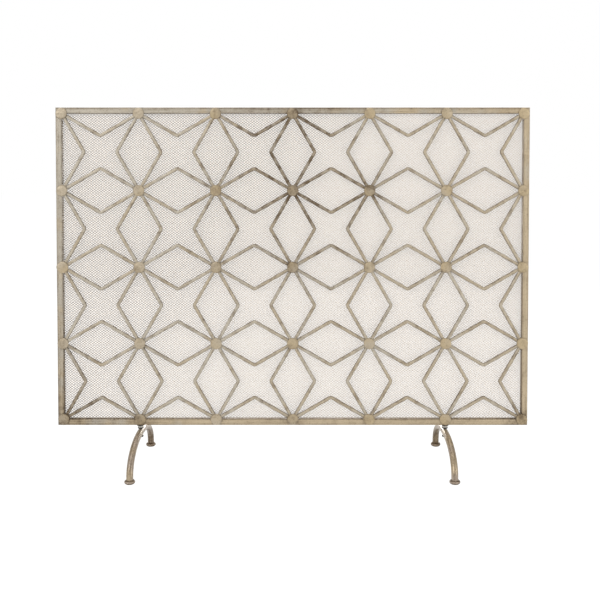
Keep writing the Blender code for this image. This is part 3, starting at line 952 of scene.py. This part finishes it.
def make_foot(side, end, material):
    """One turned foot: a bulged pad with a rolled upper rim round the rod."""
    node = f"{side}_{end}_foot"
    size = size_of(node)
    widest, tall = size.x / 2, size.z
    rod = size_of(side + "_arch").x / 2
    top, base = widest * 0.86, widest * 0.79
    profile, shades = [(0.0, 0.0), (base * 0.90, 0.0), (base * 0.975, tall * 0.05)], [1.2, 1.2, 1.2]
    bulge_steps = 9
    # Painted shade darkens both rims and the socket round the rod, most at the base where the foot meets the
    # floor, and leaves the belly light
    for step in range(1, bulge_steps):
        share = step / bulge_steps
        bulge = (widest - (top + base) / 2) * math.sin(math.pi * share)
        profile.append((base + (top - base) * share + bulge, tall * (0.06 + 0.86 * share)))
        shades.append(1.5 * abs(2 * share - 1.3) ** 1.1)
    profile += [
        (top * 0.985, tall * 0.965), (top * 0.93, tall), (rod + 0.0012, tall * 0.985),
        (rod + 0.0003, tall * 0.90), (rod - 0.0004, tall * 0.84), (0.0, tall * 0.84),
    ]
    shades += [0.85, 0.40, 0.65, 0.9, 0.9, 0.9]
    # The rear foot gets more painted shade than the front one
    extra = 0.34 if end == "rear" else 0.10
    shades = [shade + extra for shade in shades]
    return turned(node + "_pad", profile, 36, material, shades, underside_of(node), tone=0.4)


# ---- fixings


def make_nut(side, material):
    """One flanged nut, its edges eased, with its bore."""
    wide, _, tall = size_of(side + "_leg_nut")
    flange = wide / 2
    neck, bore, under = 0.0062, 0.0033, tall - 0.0013
    eased = 0.0003
    profile = [
        (bore, 0.0), (neck - eased, 0.0), (neck, eased), (neck, under - eased), (neck + eased, under),
        (flange - eased, under), (flange, under + eased), (flange, tall - eased), (flange - eased, tall),
        (bore, tall),
    ]
    # The flange, tight under the rail, takes painted shadow; the neck below it stays light
    shades = [0.0, 0.0, 0.0, 0.1, 0.6, 1.0, 1.0, 1.0, 1.0, 1.0]
    return turned(side + "_leg_nut_turned", profile, 32, material, shades, underside_of(side + "_leg_nut"))


def make_washer(side, material):
    """One soft washer with rounded edges."""
    wide, _, tall = size_of(side + "_washer")
    outer, bore, eased = wide / 2, 0.0033, 0.0005
    profile = [
        (bore, 0.0), (outer - eased, 0.0), (outer - eased * 0.3, eased * 0.3), (outer, eased),
        (outer, tall - eased), (outer - eased * 0.3, tall - eased * 0.3), (outer - eased, tall), (bore, tall),
    ]
    return turned(side + "_washer_soft", profile, 32, material, centre=underside_of(side + "_washer"))


def make_bolt(side, material):
    """One bolt: a hexagon head with its corners turned off, and the shank above it."""
    centre, size = underside_of(side + "_bolt"), size_of(side + "_bolt")
    tall, head, shank, eased = size.z, 0.004, 0.003, 0.0005
    half_flats = min(size.x, size.y) / 2
    steps = 36
    rings, shades = [], []
    for step in range(steps):
        angle = 2 * math.pi * step / steps
        from_flat = (angle + math.pi / 6) % (math.pi / 3) - math.pi / 6
        edge = half_flats / math.cos(from_flat)
        profile = [
            (0.0, 0.0), (half_flats * 0.90, 0.0), (half_flats, eased),
            (edge, eased + (edge - half_flats) * 0.6), (edge, head), (shank, head),
            (shank, tall - eased), (shank - eased, tall), (0.0, tall),
        ]
        facing = Vector((math.sin(angle), math.cos(angle), 0))
        rings.append([centre + facing * r + Vector((0, 0, z)) for r, z in profile])
        shades.append([0.0] * len(profile))
    return skin(side + "_bolt_black", rings, shades, material, closed=True)


# ---- operators


class FIRESCREEN_OT_rails(bpy.types.Operator):
    """Build the four mitred tubes of the frame"""

    bl_idname = "firescreen.rails"
    bl_label = "Frame tubes"

    def execute(self, context):
        material = rubbed_lacquer(
            "rubbed_lacquer_on_tube", colours().tube_lacquer, colours().tube_gold, streak_share=0.62,
            tone_share=0.0, streak_length=0.13, smudge_share=0.20, drift=(0.36, 0, -0.45), thick_from=0.13,
        )
        bands = {"top_rail": 0.62, "bottom_rail": 0.34, "left_stile": 0.28, "right_stile": 0.20}
        for seed, (node, band) in enumerate(bands.items(), start=1):
            hand_over(make_rail(node, material, band, seed), "screen", [node])
        return {"FINISHED"}


class FIRESCREEN_OT_stars(bpy.types.Operator):
    """Build the bent bars of the stars, one piece for each row"""

    bl_idname = "firescreen.stars"
    bl_label = "Star bars"

    def execute(self, context):
        given = sizes()
        material = rubbed_lacquer(
            "rubbed_lacquer_on_bar", colours().bar_lacquer, colours().bar_gold, streak_share=0.55,
            tone_share=0.14,
        )
        pattern = make_bar_pattern()
        tree = star_row_tree()
        for row, node in enumerate(STAR_NODES):
            piece = grow(f"star_bars_{row + 1}", tree, {
                "Bar": pattern, "Columns": COLUMNS, "Cell": CELL,
                "Row Height": OPENING_TOP - CELL * (row + 0.5),
                "Dent Depth": given.bar_dent, "Dent Size": given.dent_size * 1.2, "Seed": given.seed + row,
                "Finish": material,
            })
            piece.data.set_sharp_from_angle(angle=math.radians(60))
            hand_over(piece, "screen", [node])
        drop(pattern)
        return {"FINISHED"}


class FIRESCREEN_OT_discs(bpy.types.Operator):
    """Build the hammered discs over the crossings"""

    bl_idname = "firescreen.discs"
    bl_label = "Discs"

    def execute(self, context):
        given = sizes()
        material = rubbed_lacquer(
            "rubbed_lacquer_on_hammered_disc", *ground(), streak_share=0.22, tone_share=0.12
        )
        pattern = make_disc_pattern()
        piece = grow("hammered_discs", disc_grid_tree(), {
            "Disc": pattern, "Columns": COLUMNS, "Rows": ROWS, "Cell": CELL, "Middle": PANEL_MIDDLE,
            "Dent Depth": given.disc_dent, "Dent Size": given.dent_size, "Size Spread": 0.03,
            "Seed": given.seed, "Finish": material,
        })
        hand_over(piece, "screen", DISC_NODES)
        drop(pattern)
        return {"FINISHED"}


class FIRESCREEN_OT_mesh(bpy.types.Operator):
    """Weave the wire mesh, in four parts side by side, and the fine gauze inside it"""

    bl_idname = "firescreen.mesh"
    bl_label = "Wire mesh"

    def execute(self, context):
        given = sizes()
        paint = colours()
        material = coated_wire("baked_coating_on_wire", paint.wire, paint.wire_light)
        low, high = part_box("mesh_sheet")
        wide, tall = high.x - low.x, high.z - low.z
        reach = math.ceil((wide / given.diamond_width + tall / given.diamond_height) / 2)
        quarter = round(wide / 4 / given.diamond_width) * given.diamond_width
        edges = (-wide / 2, -quarter, 0.0, quarter, wide / 2)
        tree = wire_mesh_tree()
        for part in range(4):
            piece = grow(f"wire_mesh_{part + 1}", tree, {
                "Sheet Width": wide, "Sheet Height": tall, "Diamond Width": given.diamond_width,
                "Diamond Height": given.diamond_height, "Wire Diameter": given.wire_diameter,
                "Weave Depth": given.weave_depth, "Reach": reach,
                "Low X": edges[part], "High X": edges[part + 1], "Middle": centre_of("mesh_sheet"),
                "Finish": material,
            })
            hand_over(piece, "screen", ["mesh_sheet"])
        gauze = grow("fine_gauze", fine_gauze_tree(), {
            "Sheet Width": wide, "Sheet Height": tall, "Opening": given.gauze_pitch,
            "Wire Diameter": given.gauze_wire, "Middle": centre_of("mesh_sheet"),
            "Finish": coated_wire("thin_lacquer_on_gauze", paint.gauze_light, paint.gauze),
        })
        hand_over(gauze, "screen", ["mesh_sheet"])
        return {"FINISHED"}


class FIRESCREEN_OT_strips(bpy.types.Operator):
    """Build the strips that hold the mesh, and their tack welds"""

    bl_idname = "firescreen.strips"
    bl_label = "Rear strips"

    def execute(self, context):
        given = sizes()
        material = rubbed_lacquer("thin_lacquer_on_strip", *ground(), streak_share=0.5, tone_share=0.2)
        for seed, node in enumerate(("top_strip", "bottom_strip", "left_strip", "right_strip"), start=3):
            hand_over(make_strip(node, material, seed), "screen", [node])
        low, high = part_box("top_strip")
        strip = high.z - low.z
        middle = centre_of("left_strip")
        pattern = make_tack_pattern()
        piece = grow("tack_welds", tack_line_tree(), {
            "Tack": pattern, "Width": high.x - low.x - strip, "Height": size_of("left_strip").z + strip,
            "Spacing": given.tack_spacing, "Middle": Vector((0, high.y, middle.z)), "Dent Depth": 0.0004,
            "Dent Size": 0.0016, "Seed": given.seed, "Finish": material,
        })
        hand_over(piece, "screen")
        drop(pattern)
        return {"FINISHED"}


class FIRESCREEN_OT_legs(bpy.types.Operator):
    """Build the two arched legs and their four feet"""

    bl_idname = "firescreen.legs"
    bl_label = "Legs and feet"

    def execute(self, context):
        rod = rubbed_lacquer(
            "rubbed_lacquer_on_rod", colours().foot_lacquer, colours().tube_gold, streak_share=0.50,
            tone_share=0.05, streak_length=0.06, smudge_share=0.25, gloss=0.16,
        )
        pad = rubbed_lacquer(
            "rubbed_lacquer_on_turned_foot", colours().foot_lacquer, colours().foot_lacquer,
            streak_share=0.30, tone_share=0.05, gloss=0.08,
        )
        for side in SIDES:
            body = side + "_leg"
            hand_over(make_arch(side, rod), body, [side + "_arch"])
            for end in ("front", "rear"):
                hand_over(make_foot(side, end, pad), body, [f"{side}_{end}_foot"])
        return {"FINISHED"}


class FIRESCREEN_OT_fixings(bpy.types.Operator):
    """Build the nuts, washers and bolts that hold the legs"""

    bl_idname = "firescreen.fixings"
    bl_label = "Leg fixings"

    def execute(self, context):
        paint = colours()
        zinc = small_part_finish("zinc_plated_steel", paint.zinc, linear("#5F5953"), 0.85, 0.38, 0.0012)
        rubber = small_part_finish("moulded_black_rubber", paint.rubber, linear("#24211F"), 0.0, 0.75, 0.0008)
        oxide = small_part_finish("black_oxide_on_steel", paint.oxide, linear("#272320"), 0.7, 0.42, 0.0010)
        for side in SIDES:
            hand_over(make_nut(side, zinc), "screen", [side + "_leg_nut"])
            hand_over(make_washer(side, rubber), "screen", [side + "_washer"])
            hand_over(make_bolt(side, oxide), "screen", [side + "_bolt"])
        return {"FINISHED"}


class FIRESCREEN_OT_stage(bpy.types.Operator):
    """Set the pale floor, the soft lights and the camera"""

    bl_idname = "firescreen.stage"
    bl_label = "Floor, lights and camera"

    def execute(self, context):
        scene = context.scene
        scene.view_settings.view_transform = "Standard"
        self.make_floor()
        self.make_world(scene)
        for light in (
            ("key_light", (-2.2, -3.0, 2.4), (0, 0, 0.4), 2.6, 70),
            ("fill_light", (2.8, -2.6, 1.3), (0, 0, 0.4), 2.4, 40),
            ("top_light", (0, 0.9, 2.8), (0, 0, 0.2), 2.6, 70),
            ("rim_light", (0, 3.0, 0.65), (0, 0, 0.08), 1.2, 34),
        ):
            self.make_light(*light)
        self.make_camera(scene)
        return {"FINISHED"}

    def make_floor(self):
        """A wide white floor, lit from below like a light table and a little brighter near the screen."""
        half = 30
        mesh = bpy.data.meshes.new("floor")
        corners = [(-half, -half, 0), (half, -half, 0), (half, half, 0), (-half, half, 0)]
        mesh.from_pydata(corners, [], [(0, 1, 2, 3)])
        floor = new_object("floor", mesh)
        material, add = new_shader("opal_acrylic_light_table")
        away = add("VectorMath", add("TexCoord").outputs["Object"], operation="LENGTH")
        glow = add("MapRange", {
            "Value": away, "From Min": 0.6, "From Max": 5.0, "To Min": 1.10, "To Max": 1.0,
        }, interpolation_type="SMOOTHSTEP")
        finish_shader(add, {
            "Base Color": colours().floor, "Roughness": 0.9, "Specular IOR Level": 0.0,
            "Emission Color": (1, 1, 1, 1), "Emission Strength": glow,
        })
        mesh.materials.append(material)

    def make_world(self, scene):
        """White where the camera looks past the object, and a softer grey as light."""
        world = bpy.data.worlds.new("studio")
        world.use_nodes = True
        world.node_tree.nodes.clear()
        add = partial(add_node, world.node_tree)
        ray = add("LightPath")
        strength = add("MapRange", {"Value": ray.outputs["Is Camera Ray"], "To Min": 0.60, "To Max": 1.0})
        sky = add("Background", {"Color": (1, 1, 1, 1), "Strength": strength})
        add("OutputWorld", {"Surface": sky})
        scene.world = world

    def make_light(self, name, place, target, size, watts):
        """A soft square light aimed at the object."""
        light = bpy.data.lights.new(name, "AREA")
        light.shape = "SQUARE"
        light.size = size
        light.energy = watts
        lamp = new_object(name, light)
        lamp.location = place
        lamp.visible_camera = False
        lamp.rotation_euler = (Vector(target) - Vector(place)).to_track_quat("-Z", "Y").to_euler()

    def make_camera(self, scene):
        """A camera before the screen, a little over its middle and tilted down by two degrees."""
        camera = bpy.data.cameras.new("camera")
        camera.lens = 54.4
        camera.sensor_width = 36
        camera.shift_y = -0.15
        camera.clip_end = 100
        viewer = new_object("camera", camera)
        viewer.location = (0.0157, -1.9525, 0.6202)
        viewer.rotation_euler = (math.radians(90 - 2), 0, 0)
        scene.camera = viewer


class FIRESCREEN_PT_panel(bpy.types.Panel):
    """Lists the parts of the screen and their settings."""

    bl_idname = "FIRESCREEN_PT_panel"
    bl_label = "Fireplace Screen"
    bl_space_type = "VIEW_3D"
    bl_region_type = "UI"
    bl_category = "Fire Screen"

    def draw(self, context):
        for group in (context.scene.screen_sizes, context.scene.screen_colours):
            box = self.layout.box()
            for name in group.__annotations__:
                box.prop(group, name)
        for operator in OPERATORS:
            self.layout.operator(operator.bl_idname)


OPERATORS = (
    FIRESCREEN_OT_rails,
    FIRESCREEN_OT_stars,
    FIRESCREEN_OT_discs,
    FIRESCREEN_OT_mesh,
    FIRESCREEN_OT_strips,
    FIRESCREEN_OT_legs,
    FIRESCREEN_OT_fixings,
    FIRESCREEN_OT_stage,
)
CLASSES = (ScreenSizes, ScreenColours, *OPERATORS, FIRESCREEN_PT_panel)


def register():
    """Adds the classes and the scene's settings."""
    for cls in CLASSES:
        bpy.utils.register_class(cls)
    bpy.types.Scene.screen_sizes = PointerProperty(type=ScreenSizes)
    bpy.types.Scene.screen_colours = PointerProperty(type=ScreenColours)


def unregister():
    """Removes what register added."""
    del bpy.types.Scene.screen_colours
    del bpy.types.Scene.screen_sizes
    for cls in reversed(CLASSES):
        bpy.utils.unregister_class(cls)


def main():
    """Builds the whole screen and its stage."""
    register()
    bpy.ops.firescreen.rails()
    bpy.ops.firescreen.stars()
    bpy.ops.firescreen.discs()
    bpy.ops.firescreen.mesh()
    bpy.ops.firescreen.strips()
    bpy.ops.firescreen.legs()
    bpy.ops.firescreen.fixings()
    bpy.ops.firescreen.stage()


if __name__ == "__main__":
    main()
